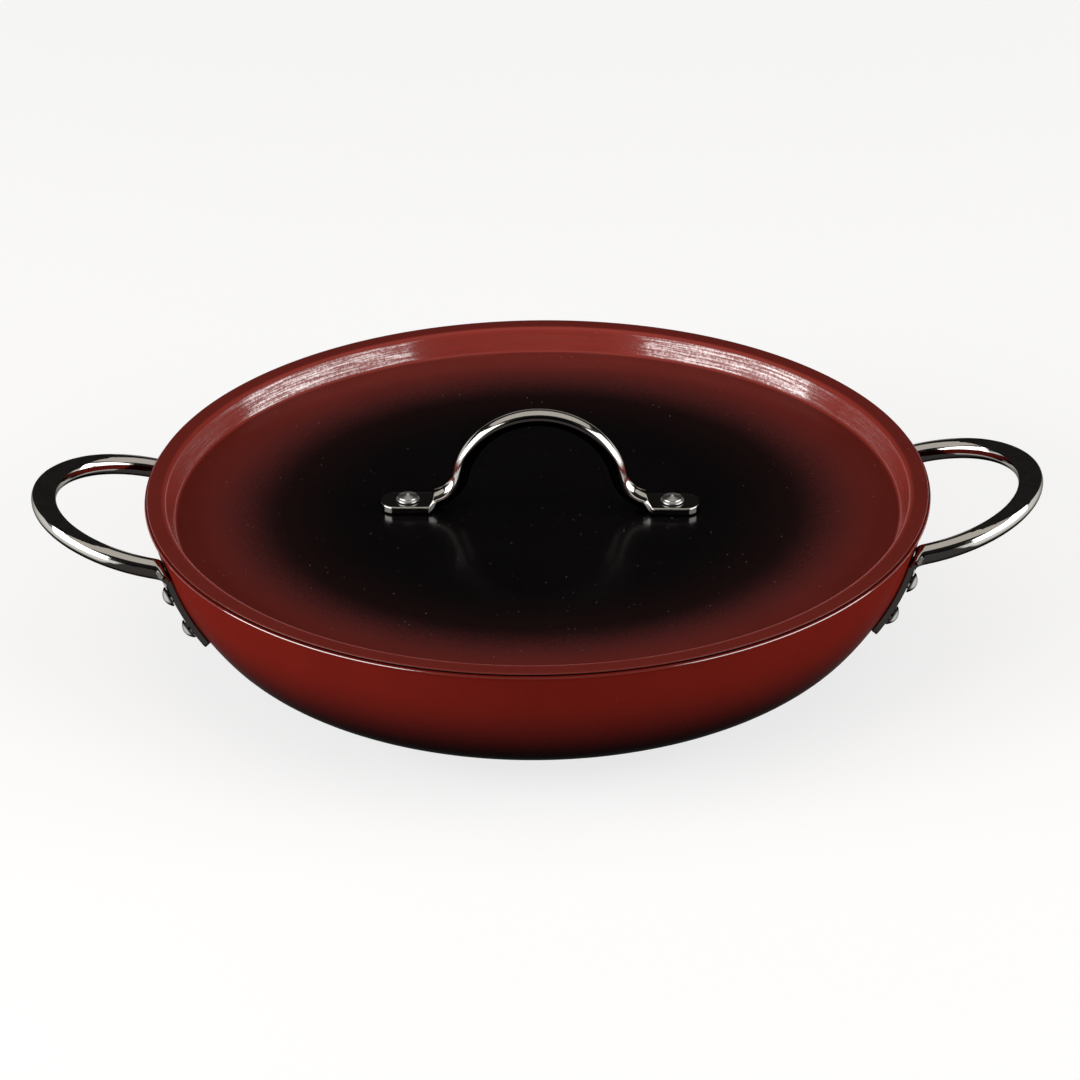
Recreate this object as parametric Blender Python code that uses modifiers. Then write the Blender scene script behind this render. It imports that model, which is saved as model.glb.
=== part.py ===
"""Shallow saute pan with two looped side handles and a lift-off lid.

The bowl is pressed from one sheet and stands on a heat-spreading core that a thin steel cap
closes in. Each side handle is a bent rod whose flattened ends lie on the bowl's wall, with two
rivets through each. The lid rests on the bowl's lip and is lifted by an arched rod handle that
two rivets hold.

Metres, +Z up. The origin is on the surface that the pan stands on, below the bowl's centre.
The side handles point along -X and +X.
"""

import math

import bmesh
import bpy
from mathutils import Matrix, Vector

# Fits
SEAT_GAP = 0.0003  # between pieces that touch
HOLE_CLEARANCE = 0.0003  # around a rivet's shank, on the radius

# Bowl. A tilt is the wall's lean from upright at that height.
BOWL_SHEET = 0.0013
RIM_RADIUS = 0.14085
LIP_BEND_RADIUS = 0.0012  # of the middle of the sheet
LIP_FLAT = 0.0002
WALL_TOP_TILT = math.radians(10.1)
WALL_RADIUS = 0.0827
CORNER_TOP_TILT = math.radians(39.3)
CORNER_RADIUS = 0.0366

# Base
CORE_THICKNESS = 0.0035
CAP_SHEET = 0.0008
CAP_INSET = 0.0050  # the cap's edge inside the bowl's flat
CAP_EDGE_RADIUS = 0.0018

# Lid
LID_SHEET = 0.0008
LID_EDGE_INSET = 0.00085  # the lid's edge inside the rim
FLANGE_WIDTH = 0.0051
FLANGE_BEND_RADIUS = 0.0026
LID_WALL_TILT = math.radians(3.0)
FOOT_BEND_RADIUS = 0.0020
LID_DROP = 0.0084
LID_DOME_RISE = 0.0010
LID_TURN = math.radians(-3.0)  # how far the lid lies turned on the bowl

# Lid handle
LID_ROD_RADIUS = 0.0032
ARCH_OUTER_RADIUS = 0.0316
HANDLE_HEIGHT = 0.0394  # from the lid's highest point to the top of the arch
FOOT_CURVE_RADIUS = 0.0090
LID_SHOULDER = 0.0022  # from the round rod to the flat tab
LID_RIVET_OFFSET = 0.0086  # from the shoulder to the rivet
LID_TAB_MARGIN = 0.0091  # from the rivet to the tab's end
LID_TAB_HALF_WIDTH = 0.00615
LID_TAB_THICKNESS = 0.0028
LID_TAB_CORNER = 0.0006
LID_ROD_FLARE = 0.0007  # the rod's widening on each side before the shoulder

# Side handles
ROD_RADIUS = 0.00365
LOOP_END_HALF_WIDTH = 0.0045  # the rod where the hand holds it
LOOP_END_HALF_HEIGHT = 0.0035
LOOP_RADIUS = 0.0394
LOOP_TILT = math.radians(13.0)
ARM_LENGTH = 0.0017
ARM_BEND_RADIUS = 0.0050
FACET_HEIGHT = 0.0015  # of the ground facet above the rod's middle, at the loop's end
FACET_HALF_ANGLE = math.radians(66.0)
TAB_TOP_DROP = 0.0091  # drops are lengths down the wall from below the lip
UPPER_RIVET_DROP = 0.0165
SIDE_RIVET_PITCH = 0.0140
TAB_MARGIN = 0.0078
TAB_HALF_WIDTH = 0.0060
TAB_THICKNESS = 0.0025
TAB_CORNER = 0.0008
FLATTEN_SHARE = 0.75  # of the arm's bend, over which the rod turns flat

# Rivets
SHANK_RADIUS = 0.0025
LID_HEAD_RADIUS = 0.0042
SIDE_HEAD_RADIUS = 0.0038
HEAD_SIDE = 0.0012
HEAD_CORNER = 0.0004
HEAD_CROWN = 0.0008
HEAD_PEAK = 0.0006
HEAD_PEAK_RADIUS = 0.0008
INNER_HEAD_RADIUS = 0.0041
INNER_HEAD_SIDE = 0.0005
INNER_HEAD_CORNER = 0.0004
INNER_HEAD_CROWN = 0.0005
HOLE_CUTTER_LENGTH = 0.024

# Facets
TURN_STEPS = 64
RIVET_STEPS = 10
HOLE_STEPS = 16
CORNER_POINTS = 3
END_ANGLES = (0, 32, 58, 78)  # degrees round a tab's end
SHARP_ANGLE = math.radians(32.0)

# Colours as linear values
ENAMEL_RED = (0.20, 0.022, 0.015)
STEEL_GREY = (0.60, 0.59, 0.57)
ALUMINIUM_GREY = (0.70, 0.70, 0.71)

# Heights from the ground up
CORE_BOTTOM = CAP_SHEET + SEAT_GAP
CORE_TOP = CORE_BOTTOM + CORE_THICKNESS
BOWL_BOTTOM = CORE_TOP + SEAT_GAP

# Middle of the sheet where the lip's bend starts, then the outside of the wall there
LIP_MIDDLE = RIM_RADIUS - BOWL_SHEET / 2 - LIP_FLAT - LIP_BEND_RADIUS * math.cos(WALL_TOP_TILT)
WALL_TOP_RADIUS = LIP_MIDDLE + BOWL_SHEET / 2 * math.cos(WALL_TOP_TILT)

# Centres of the wall's two arcs, as radius and height. The bowl is flat inside the lower one.
WALL_CENTRE_RADIUS = WALL_TOP_RADIUS - WALL_RADIUS * math.cos(WALL_TOP_TILT)
CORNER_CENTRE_RADIUS = WALL_CENTRE_RADIUS + (WALL_RADIUS - CORNER_RADIUS) * math.cos(CORNER_TOP_TILT)
CORNER_CENTRE_HEIGHT = BOWL_BOTTOM + CORNER_RADIUS
WALL_CENTRE_HEIGHT = CORNER_CENTRE_HEIGHT + (WALL_RADIUS - CORNER_RADIUS) * math.sin(CORNER_TOP_TILT)
WALL_ARC_LENGTH = WALL_RADIUS * (CORNER_TOP_TILT - WALL_TOP_TILT)
CAP_RADIUS = CORNER_CENTRE_RADIUS - CAP_INSET

# Lip and lid levels
LIP_CENTRE_RADIUS = LIP_MIDDLE + LIP_BEND_RADIUS * math.cos(WALL_TOP_TILT)
LIP_CENTRE_HEIGHT = (
    WALL_CENTRE_HEIGHT
    - (WALL_RADIUS - BOWL_SHEET / 2 + LIP_BEND_RADIUS) * math.sin(WALL_TOP_TILT)
)
LIP_TOP = LIP_CENTRE_HEIGHT + LIP_BEND_RADIUS + BOWL_SHEET / 2
FLANGE_TOP = LIP_TOP + SEAT_GAP + LID_SHEET
LID_RADIUS = RIM_RADIUS - LID_EDGE_INSET
PANEL_EDGE_HEIGHT = FLANGE_TOP - LID_DROP
LID_TOP = PANEL_EDGE_HEIGHT + LID_DOME_RISE


# Profiles: points are (radius, height)

def arc(centre, radius, start, end, steps):
    """Points on an arc. The angles count from +radius towards +height."""
    points = []
    for step in range(steps + 1):
        angle = start + (end - start) * step / steps
        points.append((centre[0] + radius * math.cos(angle), centre[1] + radius * math.sin(angle)))
    return points


def facet_sag(radius):
    """How far a turned wall's flat facets lie inside its true circle."""
    return radius * (1 - math.cos(math.pi / TURN_STEPS))


def bowl_point(tilt, inset=0.0):
    """A point of the bowl's outer surface, or of one that lies inset inside it."""
    if tilt < CORNER_TOP_TILT:
        centre_radius, centre_height, radius = WALL_CENTRE_RADIUS, WALL_CENTRE_HEIGHT, WALL_RADIUS
    else:
        centre_radius, centre_height, radius = CORNER_CENTRE_RADIUS, CORNER_CENTRE_HEIGHT, CORNER_RADIUS
    reach = radius - inset
    return centre_radius + reach * math.cos(tilt), centre_height - reach * math.sin(tilt)


def wall_tilt(drop):
    """The wall's tilt at a length down its outside from below the lip."""
    if drop < WALL_ARC_LENGTH:
        return WALL_TOP_TILT + drop / WALL_RADIUS
    return CORNER_TOP_TILT + (drop - WALL_ARC_LENGTH) / CORNER_RADIUS


def bowl_profile():
    wall_steps, corner_steps, lip_steps, nose_steps = 4, 5, 3, 4
    inner = []
    for step in range(corner_steps):
        tilt = math.pi / 2 + (CORNER_TOP_TILT - math.pi / 2) * step / corner_steps
        inner.append(bowl_point(tilt, BOWL_SHEET))
    for step in range(wall_steps):
        tilt = CORNER_TOP_TILT + (WALL_TOP_TILT - CORNER_TOP_TILT) * step / wall_steps
        inner.append(bowl_point(tilt, BOWL_SHEET))
    outer = [bowl_point(WALL_TOP_TILT + (CORNER_TOP_TILT - WALL_TOP_TILT) * step / wall_steps)
             for step in range(1, wall_steps)]
    outer += [bowl_point(CORNER_TOP_TILT + (math.pi / 2 - CORNER_TOP_TILT) * step / corner_steps)
              for step in range(corner_steps + 1)]
    bend_start = math.pi - WALL_TOP_TILT
    centre = (LIP_CENTRE_RADIUS, LIP_CENTRE_HEIGHT)
    half = BOWL_SHEET / 2
    lip_top = arc(centre, LIP_BEND_RADIUS + half, bend_start, math.pi / 2, lip_steps)
    lip_under = arc(centre, LIP_BEND_RADIUS - half, math.pi / 2, bend_start, lip_steps)
    nose_centre = (LIP_CENTRE_RADIUS + LIP_FLAT, LIP_CENTRE_HEIGHT + LIP_BEND_RADIUS)
    nose = arc(nose_centre, half, math.pi / 2, -math.pi / 2, nose_steps)
    floor = [(0.0, BOWL_BOTTOM + BOWL_SHEET)]
    under = [(0.0, BOWL_BOTTOM)]
    return floor + inner + lip_top + nose + lip_under + outer + under


def cap_profile():
    inner = CAP_RADIUS - CAP_SHEET
    top = BOWL_BOTTOM - SEAT_GAP
    edge_centre = (CAP_RADIUS - CAP_EDGE_RADIUS, CAP_EDGE_RADIUS)
    edge = arc(edge_centre, CAP_EDGE_RADIUS, 0.0, -math.pi / 2, 3)
    bend = CAP_EDGE_RADIUS - CAP_SHEET
    inside = arc(edge_centre, bend, -math.pi / 2, 0.0, 2)
    return [(0.0, CAP_SHEET)] + inside + [(inner, top), (CAP_RADIUS, top)] + edge + [(0.0, 0.0)]


def core_profile():
    radius = CAP_RADIUS - CAP_SHEET - SEAT_GAP
    chamfer = CAP_EDGE_RADIUS - CAP_SHEET
    return [
        (0.0, CORE_TOP),
        (radius, CORE_TOP),
        (radius, CORE_BOTTOM + chamfer),
        (radius - chamfer, CORE_BOTTOM),
        (0.0, CORE_BOTTOM),
    ]


def panel_edge_radius():
    """Where the lid's panel meets the bend at the foot of its step."""
    bends = FLANGE_BEND_RADIUS + FOOT_BEND_RADIUS
    wall = (LID_DROP - bends * (1 - math.sin(LID_WALL_TILT))) / math.cos(LID_WALL_TILT)
    run = bends * math.cos(LID_WALL_TILT) + wall * math.sin(LID_WALL_TILT)
    return LID_RADIUS - LID_SHEET / 2 - FLANGE_WIDTH - run


def dome_height(radius):
    """Height of the lid's top at a radius on its panel, which is part of a sphere."""
    return LID_TOP - dome_sphere() + math.sqrt(dome_sphere() ** 2 - radius ** 2)


def dome_sphere():
    edge = panel_edge_radius()
    return (edge ** 2 + LID_DOME_RISE ** 2) / (2 * LID_DOME_RISE)


def lid_surface(depth, bend_steps):
    """The lid's top surface from its centre to the flange, or one that lies depth below it."""
    dome_steps = 4
    edge = panel_edge_radius()
    foot_centre = (edge, PANEL_EDGE_HEIGHT + FOOT_BEND_RADIUS)
    flange_start = LID_RADIUS - LID_SHEET / 2 - FLANGE_WIDTH
    flange_centre = (flange_start, FLANGE_TOP - FLANGE_BEND_RADIUS)
    points = []
    for step in range(dome_steps):
        radius = edge * step / dome_steps
        points.append((radius, dome_height(radius) - depth))
    points += arc(foot_centre, FOOT_BEND_RADIUS + depth, -math.pi / 2, -LID_WALL_TILT, bend_steps)
    points += arc(flange_centre, FLANGE_BEND_RADIUS - depth,
                  math.pi - LID_WALL_TILT, math.pi / 2, bend_steps)
    return points


def lid_profile():
    nose_centre = (LID_RADIUS - LID_SHEET / 2, FLANGE_TOP - LID_SHEET / 2)
    nose = arc(nose_centre, LID_SHEET / 2, math.pi / 2, -math.pi / 2, 2)
    return lid_surface(0.0, 3) + nose + list(reversed(lid_surface(LID_SHEET, 2)))


def rivet_profile(head_radius, grip):
    """A rivet whose outer head sits on height 0 and whose shank reaches down by grip."""
    return [
        (0.0, HEAD_SIDE + HEAD_CROWN + HEAD_PEAK),
        (HEAD_PEAK_RADIUS, HEAD_SIDE + HEAD_CROWN),
        (head_radius - HEAD_CORNER, HEAD_SIDE),
        (head_radius, HEAD_SIDE - HEAD_CORNER),
        (head_radius, 0.0),
        (SHANK_RADIUS, 0.0),
        (SHANK_RADIUS, -grip),
        (INNER_HEAD_RADIUS, -grip),
        (INNER_HEAD_RADIUS - INNER_HEAD_CORNER, -grip - INNER_HEAD_SIDE),
        (0.0, -grip - INNER_HEAD_SIDE - INNER_HEAD_CROWN),
    ]


# Objects, shading and materials

def clear_scene():
    for old in list(bpy.data.objects):
        bpy.data.objects.remove(old)


def new_collection(name):
    collection = bpy.data.collections.new(name)
    bpy.context.scene.collection.children.link(collection)
    return collection


def plain_material(name, colour, roughness, metallic):
    material = bpy.data.materials.new(name)
    material.use_nodes = True
    shader = material.node_tree.nodes["Principled BSDF"]
    shader.inputs["Base Color"].default_value = (*colour, 1.0)
    shader.inputs["Roughness"].default_value = roughness
    shader.inputs["Metallic"].default_value = metallic
    return material


def add_object(name, mesh, collection, material=None, place=None):
    piece = bpy.data.objects.new(name, mesh)
    collection.objects.link(piece)
    if material:
        mesh.materials.append(material)
    if place:
        piece.matrix_world = place
    return piece


def freeze(piece):
    """Turn a piece's modifiers into its mesh and shade it smooth between sharp edges."""
    bpy.context.view_layer.update()
    evaluated = piece.evaluated_get(bpy.context.evaluated_depsgraph_get())
    mesh = bpy.data.meshes.new_from_object(evaluated)
    piece.modifiers.clear()
    piece.data = mesh
    mesh.shade_smooth()
    mesh.set_sharp_from_angle(angle=SHARP_ANGLE)


def turned(name, profile, steps, collection, material, place=None):
    """A solid turned about +Z from a profile that runs down its outer side."""
    mesh = bpy.data.meshes.new(name)
    outline = bmesh.new()
    points = [outline.verts.new((radius, 0.0, height)) for radius, height in profile]
    for first, second in zip(points, points[1:]):
        outline.edges.new((first, second))
    bmesh.ops.remove_doubles(outline, verts=outline.verts, dist=1e-7)
    outline.to_mesh(mesh)
    outline.free()
    piece = add_object(name, mesh, collection, material, place)
    screw = piece.modifiers.new("Turn", "SCREW")
    screw.axis = "Z"
    screw.steps = steps
    screw.render_steps = steps
    screw.use_merge_vertices = True
    screw.merge_threshold = 1e-6
    return piece


def drill(piece, cutters):
    """Cut every solid of a collection out of a piece."""
    cut = piece.modifiers.new("Holes", "BOOLEAN")
    cut.operation = "DIFFERENCE"
    cut.operand_type = "COLLECTION"
    cut.collection = cutters
    cut.solver = "EXACT"


def hole_cutter(name, place, cutters):
    """A cylinder along the place's Z axis, as wide as a rivet's shank and its clearance."""
    mesh = bpy.data.meshes.new(name)
    solid = bmesh.new()
    radius = SHANK_RADIUS + HOLE_CLEARANCE
    bmesh.ops.create_cone(solid, cap_ends=True, segments=HOLE_STEPS, depth=HOLE_CUTTER_LENGTH,
                          radius1=radius, radius2=radius)
    solid.to_mesh(mesh)
    solid.free()
    cutter = add_object(name, mesh, cutters, place=place)
    cutter.hide_render = True
    cutter.display_type = "WIRE"
    return cutter


# Bent rods: a station is (middle, width direction, normal, half width, half thickness, corner)

def station(middle, across, normal, half_width, half_thickness, corner):
    corner = min(corner, half_width, half_thickness)
    return Vector(middle), Vector(across).normalized(), Vector(normal).normalized(), \
        half_width, half_thickness, corner


def section_points(stop):
    """Corners of a rounded section: a circle where the corner is as large as the section."""
    middle, across, normal, half_width, half_thickness, corner = stop
    points = []
    for quarter, (side, up) in enumerate(((1, 1), (-1, 1), (-1, -1), (1, -1))):
        for number in range(CORNER_POINTS):
            angle = math.pi / 2 * (quarter + (number + 0.5) / CORNER_POINTS)
            width = side * (half_width - corner) + corner * math.cos(angle)
            height = up * (half_thickness - corner) + corner * math.sin(angle)
            points.append(middle + across * width + normal * height)
    return points


def mirrored(stop, axis):
    """The same station on the far side of the plane across axis 0 or 1."""
    middle, across, normal = (vector.copy() for vector in stop[:3])
    for vector in (middle, across, normal):
        vector[axis] = -vector[axis]
    return (middle, across, normal) + stop[3:]


def lofted_rod(stations):
    """A closed bmesh through the sections of a row of stations."""
    rod = bmesh.new()
    rings = [[rod.verts.new(point) for point in section_points(stop)] for stop in stations]
    for ring, following in zip(rings, rings[1:]):
        for index in range(len(ring)):
            beside = (index + 1) % len(ring)
            rod.faces.new((ring[index], ring[beside], following[beside], following[index]))
    rod.faces.new(rings[0])
    rod.faces.new(rings[-1])
    bmesh.ops.recalc_face_normals(rod, faces=rod.faces)
    return rod


def round_end(end_length, half_width):
    """Pairs of length and half width along a tab whose end is a half circle."""
    rows = []
    for angle in (math.radians(value) for value in END_ANGLES):
        rows.append((end_length - half_width * (1 - math.sin(angle)), half_width * math.cos(angle)))
    return rows


def ease(value):
    """A ramp from 0 to 1 with level ends."""
    value = min(max(value, 0.0), 1.0)
    return value * value * (3 - 2 * value)


def blend(start, end, share):
    return start + (end - start) * share


# Lid handle

def lid_handle_layout():
    """Places along the lid handle's +X half that the rivets and the rod share."""
    rod_arch = ARCH_OUTER_RADIUS - LID_ROD_RADIUS
    arch_height = LID_TOP + HANDLE_HEIGHT - ARCH_OUTER_RADIUS
    touch = rod_arch + 2 * FOOT_CURVE_RADIUS
    slope = math.asin(touch / dome_sphere())
    seat_zero = dome_height(touch) + touch * math.tan(slope) + SEAT_GAP / math.cos(slope)
    rise = seat_zero + (LID_ROD_RADIUS + FOOT_CURVE_RADIUS) / math.cos(slope) - arch_height
    tangent = math.tan(slope)
    reach = rod_arch + FOOT_CURVE_RADIUS
    scale = 1 + tangent ** 2
    foot_x = (rise * tangent + math.sqrt((rise * tangent) ** 2 - scale * (rise ** 2 - reach ** 2))) / scale
    foot_z = arch_height + rise - foot_x * tangent
    along = Vector((math.cos(slope), 0.0, -math.sin(slope)))
    normal = Vector((math.sin(slope), 0.0, math.cos(slope)))
    foot_end = Vector((foot_x, 0.0, foot_z)) - normal * (FOOT_CURVE_RADIUS + LID_ROD_RADIUS)
    return {
        "arch_radius": rod_arch,
        "arch_height": arch_height,
        "foot_centre": Vector((foot_x, 0.0, foot_z)),
        "foot_angle": math.atan2(foot_z - arch_height, foot_x),
        "slope": slope,
        "along": along,
        "normal": normal,
        "seat": foot_end,
        "rivet": foot_end + along * (LID_SHOULDER + LID_RIVET_OFFSET),
    }


def lid_handle_half():
    """Stations from the top of the arch down to the end of the tab at +X."""
    layout = lid_handle_layout()
    across = Vector((0.0, -1.0, 0.0))
    stations = []
    arch_steps, foot_steps = 8, 4
    for step in range(arch_steps + 1):
        angle = blend(math.pi / 2, layout["foot_angle"], step / arch_steps)
        outward = Vector((math.cos(angle), 0.0, math.sin(angle)))
        middle = outward * layout["arch_radius"] + Vector((0.0, 0.0, layout["arch_height"]))
        stations.append(station(middle, across, outward, LID_ROD_RADIUS, LID_ROD_RADIUS, LID_ROD_RADIUS))
    for step in range(1, foot_steps + 1):
        share = step / foot_steps
        angle = blend(layout["foot_angle"], math.pi / 2 - layout["slope"], share)
        outward = Vector((math.cos(angle), 0.0, math.sin(angle)))
        middle = layout["foot_centre"] - outward * FOOT_CURVE_RADIUS
        half_width = LID_ROD_RADIUS + LID_ROD_FLARE * ease(2 * share - 1)
        stations.append(station(middle, across, outward, half_width, LID_ROD_RADIUS, LID_ROD_RADIUS))
    half_tab = LID_TAB_THICKNESS / 2
    rows = [(LID_SHOULDER, LID_TAB_HALF_WIDTH)]
    rows += round_end(LID_SHOULDER + LID_RIVET_OFFSET + LID_TAB_MARGIN, LID_TAB_HALF_WIDTH)
    for length, half_width in rows:
        middle = layout["seat"] + layout["along"] * length + layout["normal"] * half_tab
        stations.append(station(middle, across, layout["normal"], half_width, half_tab, LID_TAB_CORNER))
    return stations


def lid_rivet_place(side):
    """The frame of a lid rivet's outer head, on the +X or -X side."""
    layout = lid_handle_layout()
    top = layout["rivet"] + layout["normal"] * (LID_TAB_THICKNESS + SEAT_GAP)
    lean = Matrix.Rotation(side * layout["slope"], 4, "Y")
    return Matrix.Rotation(LID_TURN, 4, "Z") @ Matrix.Translation((side * top.x, 0.0, top.z)) @ lean


def lid_grip():
    """Length of a lid rivet's shank between its heads."""
    return SEAT_GAP + LID_TAB_THICKNESS + SEAT_GAP + LID_SHEET + SEAT_GAP


# Side handles

def tab_frame(drop):
    """Middle, width direction and inward normal of the +Y tab of the +X handle."""
    tilt = wall_tilt(drop)
    radius, height = bowl_point(tilt, -(SEAT_GAP + TAB_THICKNESS / 2))
    turn = math.asin(LOOP_RADIUS / radius)
    normal = Vector((-math.cos(tilt) * math.cos(turn), -math.cos(tilt) * math.sin(turn), math.sin(tilt)))
    down = Vector((-math.sin(tilt) / math.cos(turn), 0.0, -math.cos(tilt)))
    across = down.cross(normal).normalized()
    return Vector((radius * math.cos(turn), LOOP_RADIUS, height)), across, normal


def loop_section(angle):
    """Half width and half height of the rod, which is pressed wider towards the loop's end."""
    share = math.cos(angle) ** 2
    return blend(ROD_RADIUS, LOOP_END_HALF_WIDTH, share), blend(ROD_RADIUS, LOOP_END_HALF_HEIGHT, share)


def side_handle_layout():
    """Centres of the +Y arm's bend and of the loop."""
    middle, across, normal = tab_frame(TAB_TOP_DROP)
    lean = math.atan2(normal.z, math.hypot(normal.x, normal.y))
    outward = Vector((math.cos(lean), 0.0, -math.sin(lean)))
    bend_centre = middle + outward * ARM_BEND_RADIUS
    arm = Vector((math.cos(LOOP_TILT), 0.0, math.sin(LOOP_TILT)))
    up = Vector((-math.sin(LOOP_TILT), 0.0, math.cos(LOOP_TILT)))
    loop_centre = bend_centre + up * ARM_BEND_RADIUS + arm * ARM_LENGTH
    loop_centre.y = 0.0
    return {
        "lean": lean,
        "bend_centre": bend_centre,
        "arm": arm,
        "up": up,
        "loop_centre": loop_centre,
        "tab_across": across,
    }


def side_handle_half():
    """Stations from the loop's outer end to the end of the tab at +Y, for the +X handle."""
    layout = side_handle_layout()
    arm, up = layout["arm"], layout["up"]
    sideways = Vector((0.0, 1.0, 0.0))
    stations = []
    loop_steps, bend_steps = 11, 5
    for step in range(loop_steps + 1):
        angle = math.pi / 2 * step / loop_steps
        across = arm * math.cos(angle) + sideways * math.sin(angle)
        half_width, half_height = loop_section(angle)
        stations.append(station(layout["loop_centre"] + across * LOOP_RADIUS, across, up,
                                half_width, half_height, half_height))
    half_tab = TAB_THICKNESS / 2
    start, end = math.pi / 2 + LOOP_TILT, math.pi - layout["lean"]
    for step in range(bend_steps):
        share = step / bend_steps
        angle = blend(start, end, share)
        outward = Vector((math.cos(angle), 0.0, math.sin(angle)))
        middle = layout["bend_centre"] + outward * ARM_BEND_RADIUS
        forward = Vector((-math.sin(angle), 0.0, math.cos(angle)))
        across = sideways.lerp(layout["tab_across"], share)
        across -= forward * across.dot(forward)
        normal = across.cross(forward)
        flat = ease(share / FLATTEN_SHARE)
        stations.append(station(
            middle, across, normal,
            blend(ROD_RADIUS, TAB_HALF_WIDTH, flat),
            blend(ROD_RADIUS, half_tab, flat),
            blend(ROD_RADIUS, TAB_CORNER, flat),
        ))
    lower_rivet = UPPER_RIVET_DROP + SIDE_RIVET_PITCH
    rows = [(TAB_TOP_DROP, TAB_HALF_WIDTH), (UPPER_RIVET_DROP, TAB_HALF_WIDTH), (lower_rivet, TAB_HALF_WIDTH)]
    rows += round_end(lower_rivet + TAB_MARGIN, TAB_HALF_WIDTH)
    for drop, half_width in rows:
        middle, across, normal = tab_frame(drop)
        stations.append(station(middle, across, normal, half_width, half_tab, TAB_CORNER))
    return stations


def grind_facet(rod):
    """Cut the flat that crosses the top of the loop's outer end."""
    layout = side_handle_layout()
    arm, up, centre = layout["arm"], layout["up"], layout["loop_centre"]
    outer = centre + arm * LOOP_RADIUS + up * FACET_HEIGHT
    half_height = loop_section(FACET_HALF_ANGLE)[1]
    inner = centre + arm * (LOOP_RADIUS * math.cos(FACET_HALF_ANGLE)) + up * half_height
    slope = (outer - inner).normalized()
    facing = Vector((-slope.z, 0.0, slope.x))
    cut = bmesh.ops.bisect_plane(rod, geom=list(rod.verts) + list(rod.edges) + list(rod.faces),
                                 plane_co=outer, plane_no=facing, clear_outer=True)
    edges = [item for item in cut["geom_cut"] if isinstance(item, bmesh.types.BMEdge)]
    bmesh.ops.edgeloop_fill(rod, edges=edges)
    bmesh.ops.recalc_face_normals(rod, faces=rod.faces)


def side_rivet_place(side, arm, drop):
    """The frame of a side rivet's outer head. The side and the arm are 1 or -1."""
    middle, across, normal = tab_frame(drop)
    head = middle - normal * (TAB_THICKNESS / 2 + SEAT_GAP)
    outward = Vector((-side * normal.x, -arm * normal.y, -normal.z))
    turn = outward.to_track_quat("Z", "Y").to_matrix().to_4x4()
    return Matrix.Translation((side * head.x, arm * head.y, head.z)) @ turn


def side_grip(drop):
    """Length of a side rivet's shank, which also spans the sag of the wall's facets."""
    wall_radius = bowl_point(wall_tilt(drop))[0]
    return SEAT_GAP + TAB_THICKNESS + SEAT_GAP + BOWL_SHEET + SEAT_GAP + facet_sag(wall_radius)


def build():
    clear_scene()
    parts = new_collection("saute_pan")
    shell_cutters = new_collection("bowl_holes")
    lid_cutters = new_collection("lid_holes")
    enamel = plain_material("red_enamel", ENAMEL_RED, 0.25, 0.0)
    polished = plain_material("polished_steel", STEEL_GREY, 0.12, 1.0)
    brushed = plain_material("brushed_steel", STEEL_GREY, 0.35, 1.0)
    bright = plain_material("rivet_steel", STEEL_GREY, 0.30, 1.0)
    aluminium = plain_material("core_aluminium", ALUMINIUM_GREY, 0.45, 1.0)

    for side, side_name in ((-1, "left"), (1, "right")):
        place = lid_rivet_place(side)
        hole_cutter(side_name + "_lid_hole", place, lid_cutters)
        rivet = turned("lid_rivet_" + side_name, rivet_profile(LID_HEAD_RADIUS, lid_grip()),
                       RIVET_STEPS, parts, bright, place)
        freeze(rivet)
        for arm, arm_name in ((-1, "front"), (1, "back")):
            for level, drop in (("upper", UPPER_RIVET_DROP), ("lower", UPPER_RIVET_DROP + SIDE_RIVET_PITCH)):
                name = "_".join((side_name, arm_name, level))
                place = side_rivet_place(side, arm, drop)
                hole_cutter(name + "_hole", place, shell_cutters)
                rivet = turned(name + "_rivet", rivet_profile(SIDE_HEAD_RADIUS, side_grip(drop)),
                               RIVET_STEPS, parts, bright, place)
                freeze(rivet)

    bowl = turned("pan_shell", bowl_profile(), TURN_STEPS, parts, enamel)
    drill(bowl, shell_cutters)
    freeze(bowl)
    freeze(turned("base_core", core_profile(), TURN_STEPS, parts, aluminium))
    freeze(turned("base_cap", cap_profile(), TURN_STEPS, parts, brushed))
    lid = turned("lid_shell", lid_profile(), TURN_STEPS, parts, enamel)
    drill(lid, lid_cutters)
    freeze(lid)

    half = lid_handle_half()
    rod = lofted_rod([mirrored(stop, 0) for stop in reversed(half[1:])] + half)
    mesh = bpy.data.meshes.new("lid_handle")
    rod.to_mesh(mesh)
    rod.free()
    handle = add_object("lid_handle", mesh, parts, polished, Matrix.Rotation(LID_TURN, 4, "Z"))
    drill(handle, lid_cutters)
    freeze(handle)

    half = side_handle_half()
    rod = lofted_rod([mirrored(stop, 1) for stop in reversed(half[1:])] + half)
    grind_facet(rod)
    mesh = bpy.data.meshes.new("side_handle")
    rod.to_mesh(mesh)
    rod.free()
    mesh.materials.append(polished)
    for name, turn in (("right_handle", 0.0), ("left_handle", math.pi)):
        handle = add_object(name, mesh.copy(), parts, place=Matrix.Rotation(turn, 4, "Z"))
        drill(handle, shell_cutters)
        freeze(handle)


build()
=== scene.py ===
import math

import bmesh
import bpy
from mathutils import Matrix, Vector


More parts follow.
